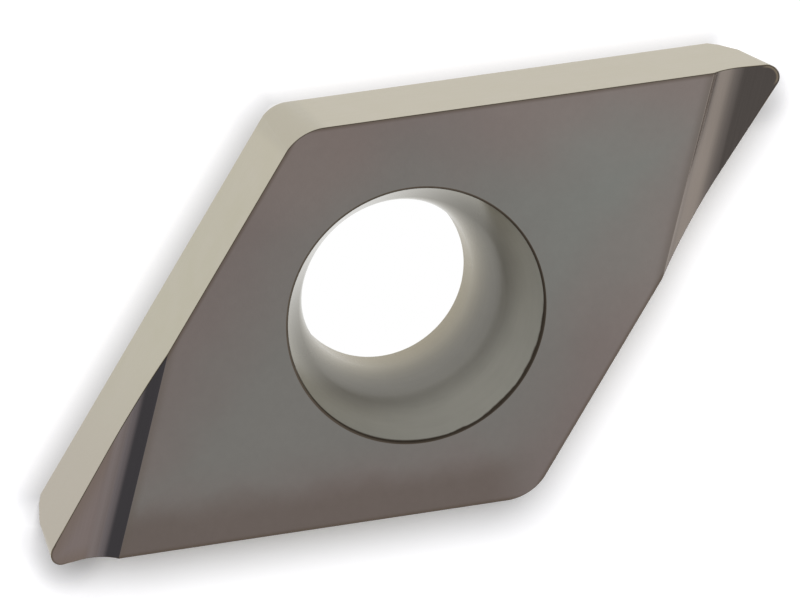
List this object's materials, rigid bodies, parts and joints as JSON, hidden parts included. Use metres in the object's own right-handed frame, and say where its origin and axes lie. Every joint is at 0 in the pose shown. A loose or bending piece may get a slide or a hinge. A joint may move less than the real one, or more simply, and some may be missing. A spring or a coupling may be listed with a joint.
{
  "type": "indexable carbide cutting insert",
  "caption": "Rhombic carbide turning insert, 55 degree corners, 7 degree flanks, countersunk screw hole and a ground chip groove across each cutting corner.",
  "frame": {"origin": "on the screw hole's axis, at the seat face", "axes": "+X from the hole to one cutting corner, +Y to a wide corner, +Z from the seat face to the rake face"},
  "size_m": [0.0132, 0.007, 0.0024],
  "materials": {
    "coated_carbide": "fine-ground cemented carbide with a thin grey-mauve coating, satin"
  },
  "bodies": {
    "root": {"insert_body": "coated_carbide"}
  },
  "joints": []
}
